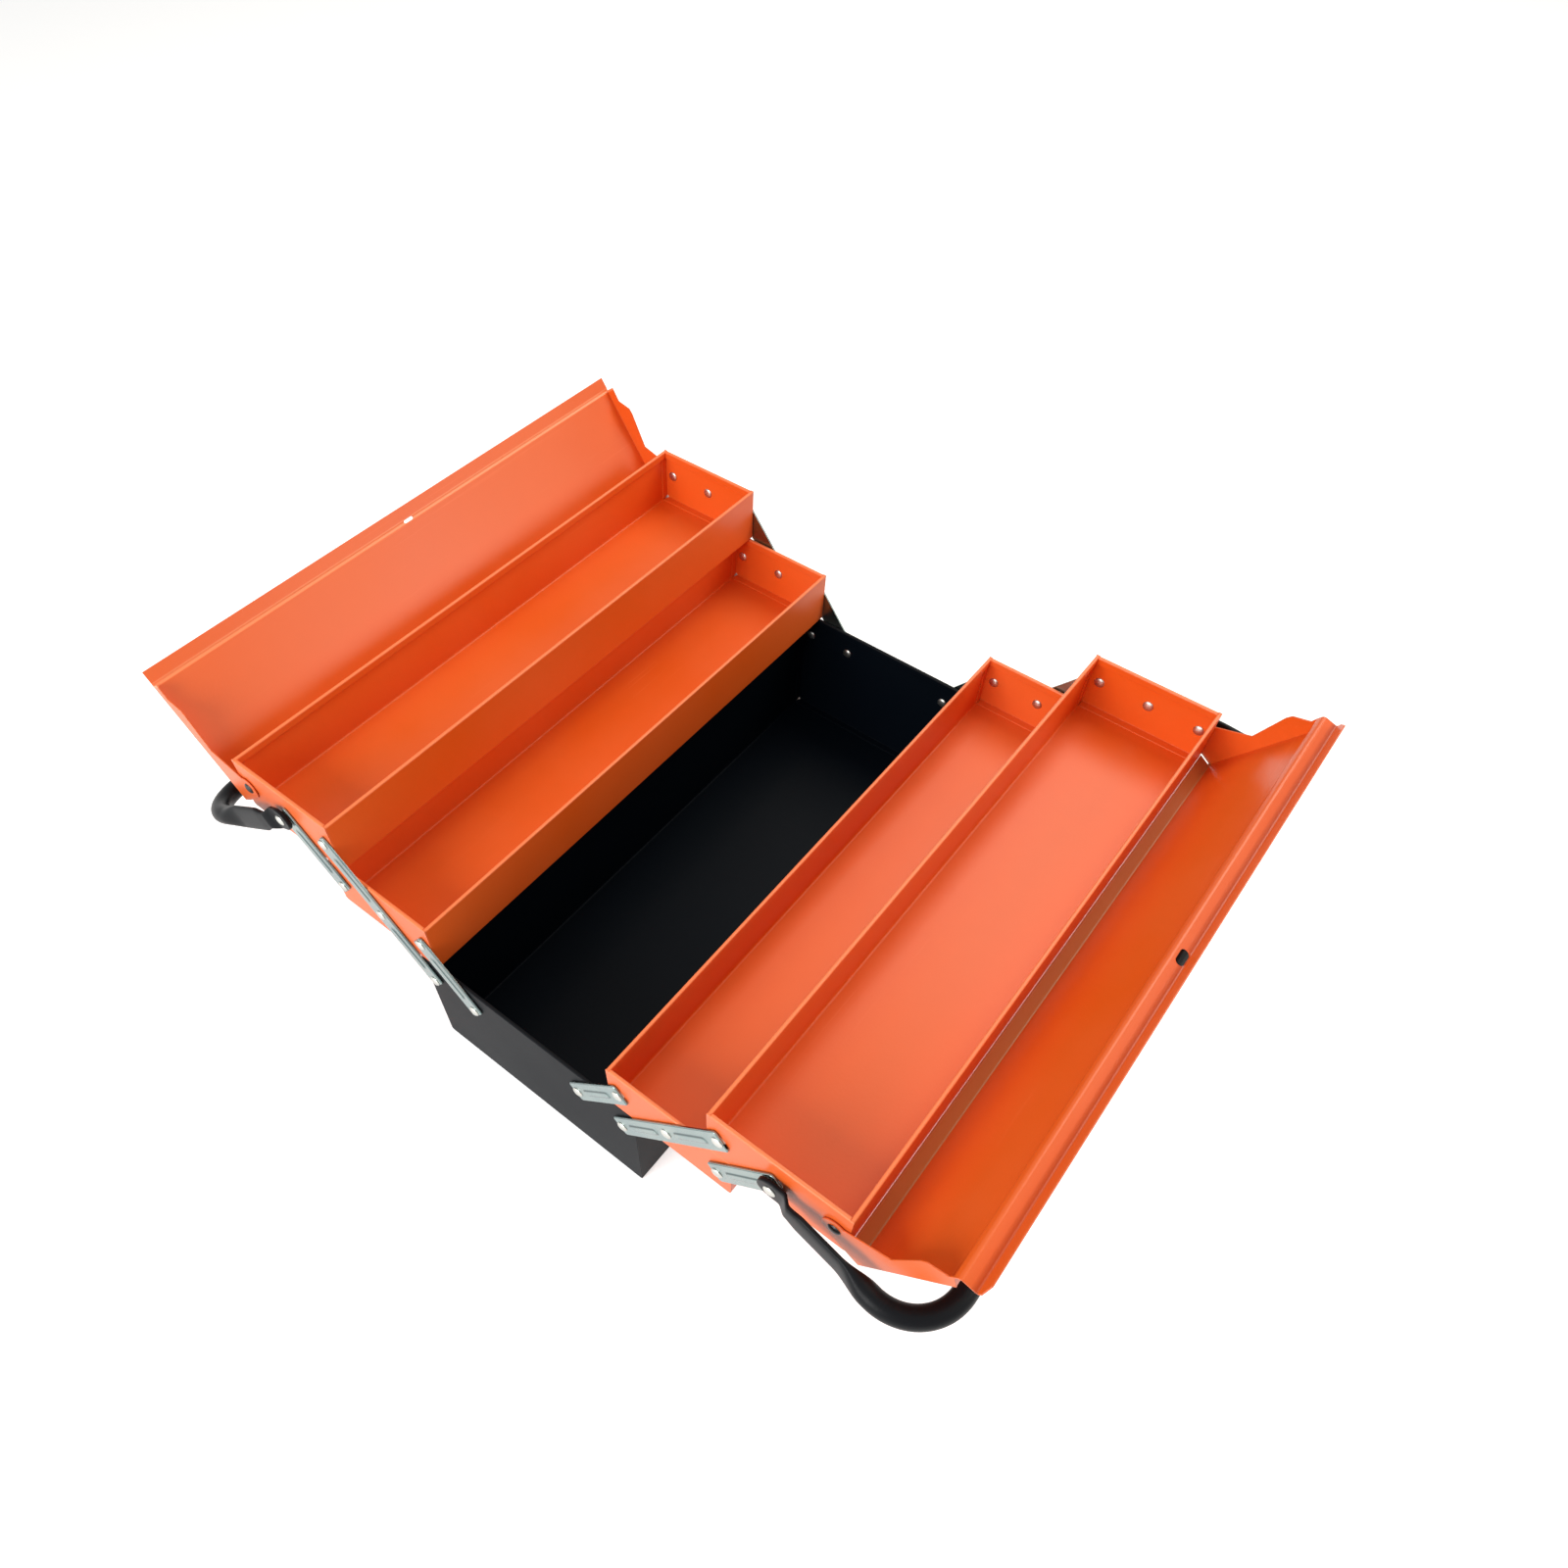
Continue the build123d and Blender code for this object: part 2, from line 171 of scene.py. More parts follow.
make_softbox("key", place=(0.15, 1.5, 2.1), aim=(0, 0, 0.12), size=1.5, power=33, colour=WARM_LIGHT)
make_softbox("near_fill", place=(-0.2, -2.0, 1.1), aim=(0, 0, 0.12), size=1.2, power=43,
             colour=WHITE_LIGHT)
make_softbox("side_card", place=(1.7, 1.0, 1.05), aim=(-0.3, 0, 0.22), size=1.0, power=13,
             colour=WARM_LIGHT)
print("three softboxes")

# %% [markdown]
# ## Sizes the new pieces share with the CAD model
# Links, rivets and handles sit on pivots in the end plates, so their places come from the same
# sizes as the CAD model's. A side's pivots are worked out for the right, and the left mirrors them.

# %% Pivots and layers along the box
HALF_LENGTH = 230.0
BASE_SHEET, TRAY_SHEET = 1.0, 0.8
PIVOTS = {
    "base": np.array([(49.3, 85.9), (88.8, 85.9)]),
    "lower": np.array([(89.0, 133.5), (128.5, 133.5), (168.0, 133.5)]),
    "upper": np.array([(168.2, 181.1), (207.7, 181.1), (247.2, 181.1)]),
}
LINK_FACE, LINK_SHEET = 230.6, 1.5
LINK_OUTSIDE = LINK_FACE + LINK_SHEET
EYE_FACE, EYE_OUTSIDE = 233.1, 236.3
LID_PLATE_OUTSIDE = 231.4
link_run = PIVOTS["lower"][0] - PIVOTS["base"][0]
LINK_LENGTH = float(np.hypot(*link_run))
LINK_ANGLE = float(np.arctan2(link_run[1], link_run[0]))
print("link length in mm:", round(LINK_LENGTH, 2))

# %% [markdown]
# ## From a grid of points to a mesh
# Every new piece is a tube of some kind: rings of points, each closed on itself, one after the
# other. One helper joins such grids into a mesh, closes the two end rings and makes sure that the
# faces look outwards, by the sign of the volume that they enclose.

# %% The mesh helper
def quads_of(rings, points, offset, loop):
    """Quads between neighbouring closed rings; in a loop the last ring joins the first."""
    number = np.arange(rings * points).reshape(rings, points) + offset
    low, high = (number, np.roll(number, -1, 0)) if loop else (number[:-1], number[1:])
    quads = np.stack([low, np.roll(low, -1, 1), np.roll(high, -1, 1), high], -1)
    return quads.reshape(-1, 4), number[0], number[-1]


def end_faces(ring, flat_strip):
    """Close a ring with one face, or a flat strip with quads from its lower to its upper row."""
    if not flat_strip:
        return [tuple(ring)]
    half = len(ring) // 2
    low, high = ring[:half], ring[half:][::-1]
    return [tuple(quad) for quad in np.stack([low[:-1], low[1:], high[1:], high[:-1]], -1)]


def signed_volume(points, quads):
    """Volume below a skin of quads: the sum of the tetrahedra from the middle to each triangle."""
    a, b, c, d = (points[quads[:, k]] - points.mean(0) for k in range(4))
    normals = np.cross(b, c) + np.cross(c, d)
    return np.einsum("ij,ij->i", a, normals).sum()


def make_piece(name, grids, materials, body, flat_strip=False, loop=False, sharp=40):
    """Mesh from grids of rings x points x 3, in mm, given with a material number each."""
    all_points, faces, numbers, offset = [], [], [], 0
    for grid, material in grids:
        rings, count = grid.shape[:2]
        quads, first, last = quads_of(rings, count, offset, loop)
        points = grid.reshape(-1, 3)
        turned = signed_volume(points, quads - offset) < 0
        new_faces = [tuple(quad) for quad in quads.tolist()]
        if not loop:
            new_faces += [face[::-1] for face in end_faces(first, flat_strip)]
            new_faces += end_faces(last, flat_strip)
        faces += [face[::-1] for face in new_faces] if turned else new_faces
        numbers += [material] * len(new_faces)
        all_points.append(points)
        offset += len(points)
    mesh = bpy.data.meshes.new(name)
    mesh.from_pydata((np.concatenate(all_points) * MM).tolist(), [],
                     [tuple(int(i) for i in face) for face in faces])
    mesh.polygons.foreach_set("material_index", np.array(numbers, dtype=np.int32))
    for material in materials:
        mesh.materials.append(material)
    mesh.shade_smooth()
    mesh.set_sharp_from_angle(angle=radians(sharp))
    piece = bpy.data.objects.new(name, mesh)
    bpy.context.scene.collection.objects.link(piece)
    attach(piece, body)
    print(name, len(mesh.polygons), "faces")
    return piece


def ease(place, knots, values):
    """Value at a place: 3t^2 - 2t^3 between two knots, so it leaves and arrives level."""
    knots, values = np.array(knots, float), np.array(values, float)
    part = np.clip(np.searchsorted(knots, place, side="right") - 1, 0, len(knots) - 2)
    t = np.clip((place - knots[part]) / (knots[part + 1] - knots[part]), 0, 1)
    return values[part] + (values[part + 1] - values[part]) * t * t * (3 - 2 * t)


# %% [markdown]
# ## Shared surface effects
# Four effects are used more than once, so each is a node group that is built once. Painted steel
# has a slow drift of its colour and the fine waves called orange peel. Folded edges of sheet metal
# are round, and the Bevel node lets light run over them as if they were. Thin scuffs are long,
# narrow streaks of noise. Corner reliefs are the small openings where two folds meet on a floor,
# and a bright dot stands for the light that comes through.

# %% Group helper
def new_group(name, inputs, outputs):
    """Empty shader node group with float inputs that have a default, and typed outputs."""
    group = bpy.data.node_groups.new(name, "ShaderNodeTree")
    for label, value in inputs.items():
        socket = group.interface.new_socket(label, in_out="INPUT", socket_type="NodeSocketFloat")
        socket.default_value = value
    for label, kind in outputs.items():
        group.interface.new_socket(label, in_out="OUTPUT", socket_type=kind)
    given = group.nodes.new("NodeGroupInput").outputs
    result = group.nodes.new("NodeGroupOutput").inputs
    return group, given, result


def noise(tree, vector, scale, detail=3.0, roughness=0.5):
    """Noise value between nought and one at a vector."""
    return add_node(tree, "ShaderNodeTexNoise", Vector=vector, Scale=scale, Detail=detail,
                    Roughness=roughness).outputs["Fac"]


def remap(tree, value, low, high, to_low=0.0, to_high=1.0):
    """Stretch a value from one range to another and clamp it there."""
    return add_node(tree, "ShaderNodeMapRange", i0=value, i1=low, i2=high, i3=to_low,
                    i4=to_high).outputs[0]


def calculate(tree, operation, first, second=0.0):
    """Result of one operation on two values."""
    settings = {"operation": operation}
    return add_node(tree, "ShaderNodeMath", settings, i0=first, i1=second).outputs[0]


def vector_node(tree, operation, first, **others):
    """Node of one operation on one or two vectors."""
    return add_node(tree, "ShaderNodeVectorMath", {"operation": operation}, i0=first, **others)


def object_place(tree):
    """Place on the piece, in metres from the origin that all pieces share."""
    return add_node(tree, "ShaderNodeTexCoord").outputs["Object"]


def split_vector(tree, vector):
    """Its three parts, by name."""
    return add_node(tree, "ShaderNodeSeparateXYZ", i0=vector).outputs


# %% Coating: drift and orange peel
coating, given, result = new_group(
    "coating", {"Drift Scale": 7.0, "Peel Scale": 620.0},
    {"Drift": "NodeSocketFloat", "Peel": "NodeSocketFloat"})
place = object_place(coating)
drift = noise(coating, place, given["Drift Scale"], detail=4.0)
peel = noise(coating, place, given["Peel Scale"], detail=2.0)
coating.links.new(remap(coating, drift, 0.3, 0.7), result["Drift"])
coating.links.new(peel, result["Peel"])
print("coating group")

# %% Soft edges: the Bevel node's normal, and a mask of where it turns
soft_edges, given, result = new_group(
    "soft_edges", {"Radius": 0.0006}, {"Normal": "NodeSocketVector", "Edge": "NodeSocketFloat"})
rounded = add_node(soft_edges, "ShaderNodeBevel", {"samples": 6}, Radius=given["Radius"]).outputs[0]
plain = add_node(soft_edges, "ShaderNodeNewGeometry").outputs["Normal"]
turn = vector_node(soft_edges, "DOT_PRODUCT", rounded, i1=plain).outputs["Value"]
soft_edges.links.new(rounded, result["Normal"])
soft_edges.links.new(remap(soft_edges, turn, 1.0, 0.8), result["Edge"])
print("soft edges group")

# %% Scuffs: streaks along the box
scuffs, given, result = new_group(
    "scuffs", {"Length": 6.0, "Width": 420.0, "Amount": 0.2}, {"Scuff": "NodeSocketFloat"})
place = object_place(scuffs)
stretch = add_node(scuffs, "ShaderNodeCombineXYZ", X=given["Width"], Y=given["Length"],
                   Z=given["Width"]).outputs[0]
streak_place = vector_node(scuffs, "MULTIPLY", place, i1=stretch).outputs[0]
streak = remap(scuffs, noise(scuffs, streak_place, 1.0, detail=1.0), 0.66, 0.74)
patch = remap(scuffs, noise(scuffs, place, 11.0), 0.52, 0.68)
patchy = calculate(scuffs, "MULTIPLY", streak, patch)
scuffs.links.new(calculate(scuffs, "MULTIPLY", patchy, given["Amount"]), result["Scuff"])
print("scuffs group")


# %% Corner reliefs: painted dots of the light that comes through where two walls and a floor meet
DOT_RADIUS, DOT_CORE = 0.0027, 0.0019
OUTSIDE_START, OUTSIDE_FULL = 0.0005, 0.0006


def add_reliefs(group, given, result):
    """One near the corner (|x|, |y|, z) and no further out than it, nought elsewhere."""
    mirrored = vector_node(group, "ABSOLUTE", object_place(group)).outputs[0]
    corner = add_node(group, "ShaderNodeCombineXYZ", X=given["Across"], Y=given["Along"],
                      Z=given["Height"]).outputs[0]
    away = vector_node(group, "DISTANCE", mirrored, i1=corner).outputs["Value"]
    past = split_vector(group, vector_node(group, "SUBTRACT", mirrored, i1=corner).outputs[0])
    below = calculate(group, "MULTIPLY", past["Z"], -1)
    sideways = calculate(group, "MAXIMUM", past["X"], past["Y"])
    outward = calculate(group, "MAXIMUM", sideways, below)
    near = remap(group, away, DOT_RADIUS, DOT_CORE)
    within = remap(group, outward, OUTSIDE_FULL, OUTSIDE_START)
    group.links.new(calculate(group, "MULTIPLY", near, within), result["Spot"])


reliefs, given, result = new_group(
    "reliefs", {"Across": 0.0, "Along": 0.0, "Height": 0.0}, {"Spot": "NodeSocketFloat"})
add_reliefs(reliefs, given, result)
print("reliefs group")


# %% [markdown]
# ## Painted steel
# Trays and lids are powder-coated orange, the base is dark grey and the handles are black. Powder
# coat is satin: its highlights are broad and soft. It is a little thinner, and so a little paler,
# where a sheet is folded sharply. The rolled rims of the trays get a painted highlight. Painted
# shade darkens the inside of the base, the valley beside the right lid's ridge and the inner face
# of the right lid's skirt, and a painted highlight runs along the left lid's crease. They could be
# textures, but a mask that is worked out from the place is sharp at any scale.

# %% Mixing colours
def mix_colour(tree, amount, first, second):
    """Colour between two colours; each may be a colour or another node's output."""
    sockets = {name: value if isinstance(value, bpy.types.NodeSocket) else (*value, 1)
               for name, value in (("i6", first), ("i7", second))}
    return add_node(tree, "ShaderNodeMix", {"data_type": "RGBA"}, i0=amount, **sockets).outputs[2]


def put_group(tree, group, **values):
    """Place a shared group in a material."""
    return add_node(tree, "ShaderNodeGroup", {"node_tree": group}, **values).outputs


# %% Masks for painted shade and painted highlights, worked out from the place on the piece
BASE_HALF_WIDTH, BASE_HALF_LENGTH, BASE_FLOOR, BASE_RIM = 97.5, 229.5, 0.5, 107.2
LID_SLOPE = radians(54.53)
CREASE_PLACE, VALLEY_PLACE, SKIRT_PLACE = 86.0, 86.5, -9.5
BAND_FADE = 0.4


def inside_shade_mask(tree, place):
    """Painted shade of the base's inside: one between its walls, over its floor and under its rim,
    by the least distance.
    """
    size = split_vector(tree, vector_node(tree, "ABSOLUTE", place).outputs[0])
    across = calculate(tree, "SUBTRACT", BASE_HALF_WIDTH * MM, size["X"])
    along = calculate(tree, "SUBTRACT", BASE_HALF_LENGTH * MM, size["Y"])
    above = calculate(tree, "SUBTRACT", size["Z"], BASE_FLOOR * MM)
    below = calculate(tree, "SUBTRACT", BASE_RIM * MM, size["Z"])
    least = calculate(tree, "MINIMUM", calculate(tree, "MINIMUM", across, along),
                      calculate(tree, "MINIMUM", above, below))
    return remap(tree, least, 0.0, 0.0003)


def lid_band(tree, place, middle, half_width):
    """One along a line of an open lid, at u = (|x| - px) cos a + (z - pz) sin a from its pivot."""
    parts = split_vector(tree, place)
    pivot_x, pivot_z = PIVOTS["upper"][2] * MM
    across = calculate(tree, "SUBTRACT", calculate(tree, "ABSOLUTE", parts["X"]), pivot_x)
    up = calculate(tree, "SUBTRACT", parts["Z"], pivot_z)
    along = calculate(tree, "ADD", calculate(tree, "MULTIPLY", across, cos(LID_SLOPE)),
                      calculate(tree, "MULTIPLY", up, sin(LID_SLOPE)))
    away = calculate(tree, "ABSOLUTE", calculate(tree, "SUBTRACT", along, middle * MM))
    return remap(tree, away, (half_width + BAND_FADE) * MM, (half_width - BAND_FADE) * MM)


def crease_highlight_mask(tree, place):
    """Painted highlight along the left lid's crease."""
    return lid_band(tree, place, CREASE_PLACE, 1.8)


def valley_shade_mask(tree, place):
    """Painted shade in the valley between the right lid's ridge and lip."""
    return lid_band(tree, place, VALLEY_PLACE, 0.7)


def skirt_shade_mask(tree, place):
    """Painted shade on the inner face of the right lid's skirt, which the photograph shows
    brownish.
    """
    return lid_band(tree, place, SKIRT_PLACE, 0.35)


def rim_highlight_mask(tree, height, rim):
    """Painted highlight in the last millimetre or so below a tray's rim, at its height in mm."""
    above = remap(tree, height, (rim - 1.5) * MM, (rim - 0.9) * MM)
    below = remap(tree, height, (rim + 0.2) * MM, (rim + 0.1) * MM)
    return calculate(tree, "MULTIPLY", above, below)


# %% The colour of a paint
DRIFT_SHARE, RIM_HIGHLIGHT_SHARE = 0.22, 0.85
# Colour of the painted light that comes through a corner relief.
RELIEF_LIGHT_COLOUR = (0.75, 0.66, 0.60)


def blend(tree, mask, strength, tint, colour):
    """Mix a colour over a tint by a mask and its strength."""
    return mix_colour(tree, calculate(tree, "MULTIPLY", mask, strength), tint, colour)


def paint_colour(tree, colour, pale, masks, edge_gain, highlighted_rims, corners, shading_marks):
    """Colour drifts towards the pale one; edges and scuffs are pale, rims get a painted highlight,
    then come the painted shade and highlights of the marks and the painted light dots of the
    reliefs.
    """
    drift, edge, scuff = masks
    place = object_place(tree)
    tint = blend(tree, drift, DRIFT_SHARE, colour, pale)
    tint = blend(tree, edge, edge_gain, tint, pale)
    height = split_vector(tree, place)["Z"]
    for rim in highlighted_rims:
        tint = blend(tree, rim_highlight_mask(tree, height, rim), RIM_HIGHLIGHT_SHARE, tint, pale)
    tint = mix_colour(tree, scuff, tint, pale)
    for mask, strength, mark_colour in shading_marks:
        tint = blend(tree, mask(tree, place), strength, tint, mark_colour)
    for across, along, corner_height in corners:
        spot = put_group(tree, reliefs, Across=across * MM, Along=along * MM,
                         Height=corner_height * MM)["Spot"]
        tint = mix_colour(tree, spot, tint, RELIEF_LIGHT_COLOUR)
    return tint


# %% The paint
PEEL_STRENGTH, PEEL_DEPTH = 0.12, 0.0004


def make_paint(name, colour, pale, roughness, specular, edge_gain, highlighted_rims=(), corners=(), shading_marks=()):
    """Powder coat. A mark is painted shade or a painted highlight: a mask's function, its strength
    and the colour that it gives.
    """
    material = bpy.data.materials.new(name)
    material.use_nodes = True
    tree = material.node_tree
    shader = tree.nodes["Principled BSDF"]
    coat = put_group(tree, coating)
    edges = put_group(tree, soft_edges)
    scuff = put_group(tree, scuffs)["Scuff"]
    masks = (coat["Drift"], edges["Edge"], scuff)
    tint = paint_colour(tree, colour, pale, masks, edge_gain, highlighted_rims, corners, shading_marks)
    tree.links.new(tint, shader.inputs["Base Color"])
    worn = calculate(tree, "ADD", coat["Drift"], scuff)
    rough = remap(tree, worn, 0, 1, roughness - 0.03, roughness + 0.05)
    tree.links.new(rough, shader.inputs["Roughness"])
    shader.inputs["Specular IOR Level"].default_value = specular
    bump = add_node(tree, "ShaderNodeBump", Height=coat["Peel"], Strength=PEEL_STRENGTH,
                    Distance=PEEL_DEPTH, Normal=edges["Normal"]).outputs[0]
    tree.links.new(bump, shader.inputs["Normal"])
    return material


# %% Five paints
TRAY_RIMS = (156.0, 203.6)
TRAY_CORNERS = [(176.0, 229.0, 109.9), (255.2, 229.0, 157.5)]
BASE_CORNERS = [(96.8, 228.8, 1.2)]
orange, pale_orange = (0.78, 0.110, 0.0085), (0.95, 0.235, 0.085)
# The rims of the trays get a painted highlight, and the corner reliefs painted dots of light.
tray_paint = make_paint("tray_paint", orange, pale_orange, 0.34, 0.34, 0.35, highlighted_rims=TRAY_RIMS,
                        corners=TRAY_CORNERS)
# The right lid gets painted shade in its valley and on the inner face of its skirt.
right_lid_paint = make_paint("right_lid_paint", orange, pale_orange, 0.32, 0.44, 0.10,
                             shading_marks=[(valley_shade_mask, 0.7, (0.40, 0.045, 0.004)),
                                    (skirt_shade_mask, 1.0, (0.36, 0.17, 0.055))])
# A painted highlight runs along the left lid's crease.
left_lid_paint = make_paint("left_lid_paint", orange, pale_orange, 0.32, 0.44, 0.10,
                            shading_marks=[(crease_highlight_mask, 0.75, (1.0, 0.30, 0.12))])
# The base's inside gets painted shade, nearly black.
base_paint = make_paint("base_paint", (0.0040, 0.0046, 0.0060), (0.022, 0.024, 0.027),
                        0.50, 0.08, 0.25, corners=BASE_CORNERS,
                        shading_marks=[(inside_shade_mask, 0.93, (0.0006, 0.0022, 0.0048))])
handle_paint = make_paint("handle_paint", (0.004, 0.0045, 0.006), (0.014, 0.016, 0.019),
                          0.36, 0.14, 0.2)
print("five paints")

# %% [markdown]
# ## Bare metal
# Links are zinc-plated steel with a blue-green passivation that drifts over the surface, and they
# keep the rolling lines of the strip that they are pressed from. Rivets are brighter. Edges of the
# links and rivets get a painted highlight, and the flanks of a link's bead get painted shade. The
# outer head of a lid's rivet is black.

# %% Zinc and rivets
def flank_shade_mask(tree):
    """Where painted shade goes: one where the skin leans by 22 to 40 degrees from the link's plane,
    as a bead's flanks do.
    """
    normal = add_node(tree, "ShaderNodeNewGeometry").outputs["Normal"]
    lean = calculate(tree, "ABSOLUTE", split_vector(tree, normal)["Y"])
    leaning = remap(tree, lean, 0.995, 0.93)
    not_steep = remap(tree, lean, 0.66, 0.76)
    return calculate(tree, "MULTIPLY", leaning, not_steep)


def make_metal(name, colour, tinted, roughness, spread, flank_shade_gain=0.0):
    """Plated metal: its colour drifts, streaks change its roughness, edges get a painted highlight
    and flanks painted shade.
    """
    material = bpy.data.materials.new(name)
    material.use_nodes = True
    tree = material.node_tree
    shader = tree.nodes["Principled BSDF"]
    coat = put_group(tree, coating, Drift_Scale=38.0, Peel_Scale=900.0)
    edges = put_group(tree, soft_edges, Radius=0.0004)
    streak = put_group(tree, scuffs, Length=300.0, Width=900.0, Amount=1.0)["Scuff"]
    drifted = mix_colour(tree, coat["Drift"], colour, tinted)
    edged = mix_colour(tree, edges["Edge"], drifted, EDGE_HIGHLIGHT)
    flank = calculate(tree, "MULTIPLY", flank_shade_mask(tree), flank_shade_gain)
    tree.links.new(mix_colour(tree, flank, edged, FLANK_SHADE_COLOUR), shader.inputs["Base Color"])
    worn = calculate(tree, "ADD", coat["Drift"], streak)
    rough = remap(tree, worn, 0, 1.6, roughness, roughness + spread)
    tree.links.new(rough, shader.inputs["Roughness"])
    shader.inputs["Metallic"].default_value = 1.0
    bump = add_node(tree, "ShaderNodeBump", Height=coat["Peel"], Strength=0.15, Distance=0.0003,
                    Normal=edges["Normal"]).outputs[0]
    tree.links.new(bump, shader.inputs["Normal"])
    return material


# Edges get a painted highlight, and the flanks of a link's bead get painted shade.
EDGE_HIGHLIGHT = (0.74, 0.78, 0.72)
FLANK_SHADE_COLOUR = (0.055, 0.080, 0.085)
link_zinc = make_metal("link_zinc", (0.24, 0.33, 0.33), (0.36, 0.44, 0.42), 0.22, 0.16,
                       flank_shade_gain=0.85)
rivet_zinc = make_metal("rivet_zinc", (0.54, 0.54, 0.50), (0.66, 0.66, 0.62), 0.32, 0.12)
rivet_black = make_metal("rivet_black", (0.030, 0.030, 0.032), (0.06, 0.06, 0.062), 0.35, 0.15)
print("three metals")

# %% Finishes of the CAD nodes that stay
lid_looks = {"left_lid": left_lid_paint, "right_lid": right_lid_paint}
looks = {"tray_paint": tray_paint, "base_paint": base_paint, "link_zinc": link_zinc,
         "rivet_zinc": rivet_zinc, "handle_paint": handle_paint}
for subpart in frame["record"]["subparts"]:
    node = frame["nodes"][subpart["node"]]
    node.data.materials.clear()
    finish = lid_looks.get(subpart["node"], looks[subpart["material_slot"]])
    node.data.materials.append(finish)

# %% [markdown]
# ## Rivets
# Each pivot is a solid rivet: a domed head inside the plate, a collar that keeps the link off the
# plate, and a second dome that is struck over the link. It could be a cylinder with two spheres,
# but a profile turned about the pivot gives the whole rivet in one closed skin.

# %% Turned profiles
AROUND = 32
HEAD_RADIUS, HEAD_HEIGHT, SHANK_RADIUS, COLLAR_RADIUS = 4.2, 1.5, 2.5, 4.6
SEAT = 0.1
DOME_ANGLES = (0, 8, 18, 30, 42, 54, 66, 77, 86)
DOME_STEPS = len(DOME_ANGLES)


def dome(face, direction):
    """Quarter ellipse from the rim to the pole: r = R cos a and height = H sin a over the face."""
    angle = np.radians(np.array(DOME_ANGLES))
    radius = HEAD_RADIUS * np.cos(angle)
    return np.stack([radius, face + direction * HEAD_HEIGHT * np.sin(angle)], -1)


def rivet_profile(wall, outer_face):
    """Radius and place along the box: inner head, shank, collar, shank and outer head."""
    inner = HALF_LENGTH - wall
    collar_end = LINK_FACE - SEAT
    outer = outer_face + SEAT
    body = [(SHANK_RADIUS, inner), (SHANK_RADIUS, HALF_LENGTH), (COLLAR_RADIUS, HALF_LENGTH),
            (COLLAR_RADIUS, collar_end), (SHANK_RADIUS, collar_end), (SHANK_RADIUS, outer)]
    return np.concatenate([dome(inner, -1)[::-1], body, dome(outer, 1)])


def turned(profile, centre, side, end):
    """Turn (r, y) about the pivot: x = cx + r cos a, z = cz + r sin a, for a full turn of a."""
    angle = np.arange(AROUND) * 2 * np.pi / AROUND
    radius, along = profile[:, :1], profile[:, 1:]
    x = side * (centre[0] + radius * np.cos(angle))
    z = centre[1] + radius * np.sin(angle)
    return np.stack([x, np.broadcast_to(end * along, x.shape), z], -1)


# %% Rivets of the base and the trays
def rivet_skins(pivot, wall, face, side, end):
    """One skin for a rivet, or for a lid's two: a bright one inside and a black one outside."""
    profile = rivet_profile(wall, face)
    if face != LID_PLATE_OUTSIDE:
        return [(turned(profile, pivot, side, end), 0)]
    cut = len(profile) - DOME_STEPS
    bright = turned(profile[:cut], pivot, side, end)
    black = turned(profile[cut - 1:], pivot, side, end)
    return [(bright, 0), (black, 1)]


def rivet_grids(pivots, wall, faces, sides):
    """Far and near rivets on each pivot, for one or both sides."""
    return [skin for side in sides for end in (1, -1) for pivot, face in zip(pivots, faces)
            for skin in rivet_skins(pivot, wall, face, side, end)]


base_rivets = make_piece("rivets_base", rivet_grids(
    PIVOTS["base"], BASE_SHEET, (LINK_OUTSIDE, LINK_OUTSIDE), (1, -1)), [rivet_zinc], "base")
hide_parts("base_rivets")
OUTER_FACES = {"lower": (LINK_OUTSIDE, LINK_OUTSIDE, LINK_OUTSIDE),
               "upper": (LINK_OUTSIDE, EYE_OUTSIDE, LID_PLATE_OUTSIDE)}
for side_name, side in SIDES.items():
    for level, faces in OUTER_FACES.items():
        grids = rivet_grids(PIVOTS[level], TRAY_SHEET, faces, (side,))
        rivets = make_piece(f"rivets_{side_name}_{level}", grids, [rivet_zinc, rivet_black],
                            f"{side_name}_{level}_tray")
        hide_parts(f"{side_name}_{level}_tray_rivets")

# %% [markdown]
# ## Links
# A link is pressed from 1.5 mm strip: slanted ends, rounded corners, rolled-over edges, and one
# raised bead per stage that stiffens it. It could be an extruded outline, but then its edges and
# bead would be sharp. Here the upper skin is a height over the strip, so both are round.

# %% The strip and its height
LINK_HALF, LINK_CORNER, LINK_END, LINK_SLANT = 8.5, 2.5, 6.5, 4.0
EDGE_ROUND = 0.7
BEAD_HALF, BEAD_SLOPE, BEAD_MARGIN, BEAD_HEIGHT = 1.5, 1.7, 13.0, 0.7


def clustered(low, high, step):
    """Places from low to high: close together at both ends, where the edge is round, then even."""
    near = np.array([0, 0.08, 0.22, 0.42, 0.7])
    even_from = 1.2
    middle = np.linspace(low + even_from, high - even_from, max(2, int((high - low) / step)))
    return np.concatenate([low + near, middle, (high - near)[::-1]])


def link_height(u, v, edge, stages):
    """Sheet with a quarter circle at its edge, plus beads: a slot's distance, eased to a slope."""
    short_of_flat = EDGE_ROUND - np.minimum(edge, EDGE_ROUND)
    lift = LINK_SHEET - EDGE_ROUND + np.sqrt(EDGE_ROUND**2 - short_of_flat**2)
    half_bead = LINK_LENGTH / 2 - BEAD_MARGIN - BEAD_HALF
    for stage in range(stages):
        away = np.hypot(np.maximum(np.abs(u - (stage + 0.5) * LINK_LENGTH) - half_bead, 0), v)
        lift = lift + BEAD_HEIGHT * ease(-away, (-BEAD_HALF - BEAD_SLOPE, -BEAD_HALF), (0, 1))
    return lift


def slanted_line(v):
    """Reach of the slanted end past its pivot, with sharp corners: a straight line in v."""
    return LINK_END - LINK_SLANT * (LINK_HALF - v) / (2 * LINK_HALF)


